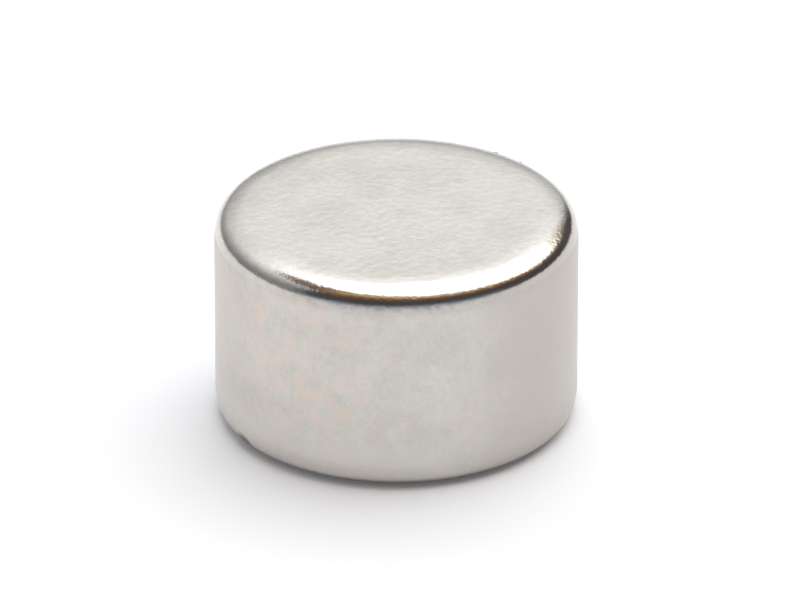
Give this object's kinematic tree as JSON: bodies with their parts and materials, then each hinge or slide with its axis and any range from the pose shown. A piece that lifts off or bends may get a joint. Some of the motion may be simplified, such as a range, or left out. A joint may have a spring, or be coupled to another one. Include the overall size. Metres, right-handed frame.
{
  "type": "disc magnet",
  "caption": "Small nickel-plated disc magnet, a short solid cylinder with flat faces and tumbled round rims.",
  "frame": {"origin": "centre of the lower flat face, on the surface that the disc rests on", "axes": "+Z along the disc's axis, towards the upper flat face"},
  "size_m": [0.005, 0.005, 0.003],
  "materials": {
    "nickel_plating": "satin"
  },
  "bodies": {
    "root": {"magnet": "nickel_plating"}
  },
  "joints": []
}
